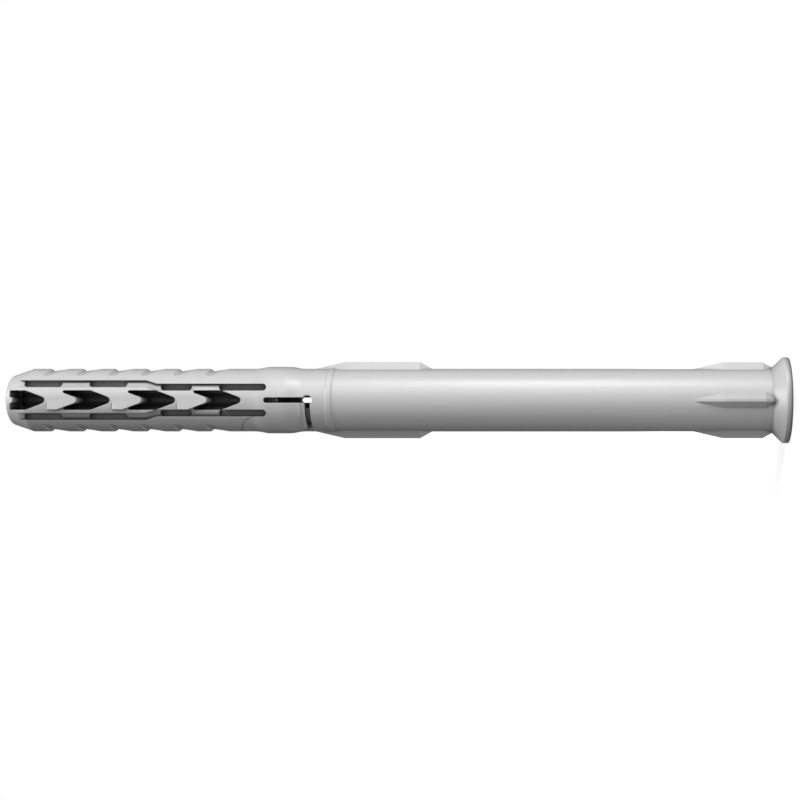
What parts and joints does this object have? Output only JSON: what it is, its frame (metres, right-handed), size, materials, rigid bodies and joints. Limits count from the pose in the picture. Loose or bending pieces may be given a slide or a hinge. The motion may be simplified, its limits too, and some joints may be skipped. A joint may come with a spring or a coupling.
{
  "type": "frame fixing",
  "caption": "Nylon sleeve of a frame fixing, with a countersunk head, a winged shaft, and a slotted and barbed grip that a screw spreads.",
  "frame": {"origin": "centre of the head's flat face, on the sleeve's axis", "axes": "+Z along the sleeve from the head to the tip, -Y towards the side shown in the picture, +X towards the top of the picture"},
  "size_m": [0.0134, 0.0134, 0.12],
  "materials": {
    "nylon": "satin"
  },
  "bodies": {
    "root": {"sleeve": "nylon"}
  },
  "joints": []
}
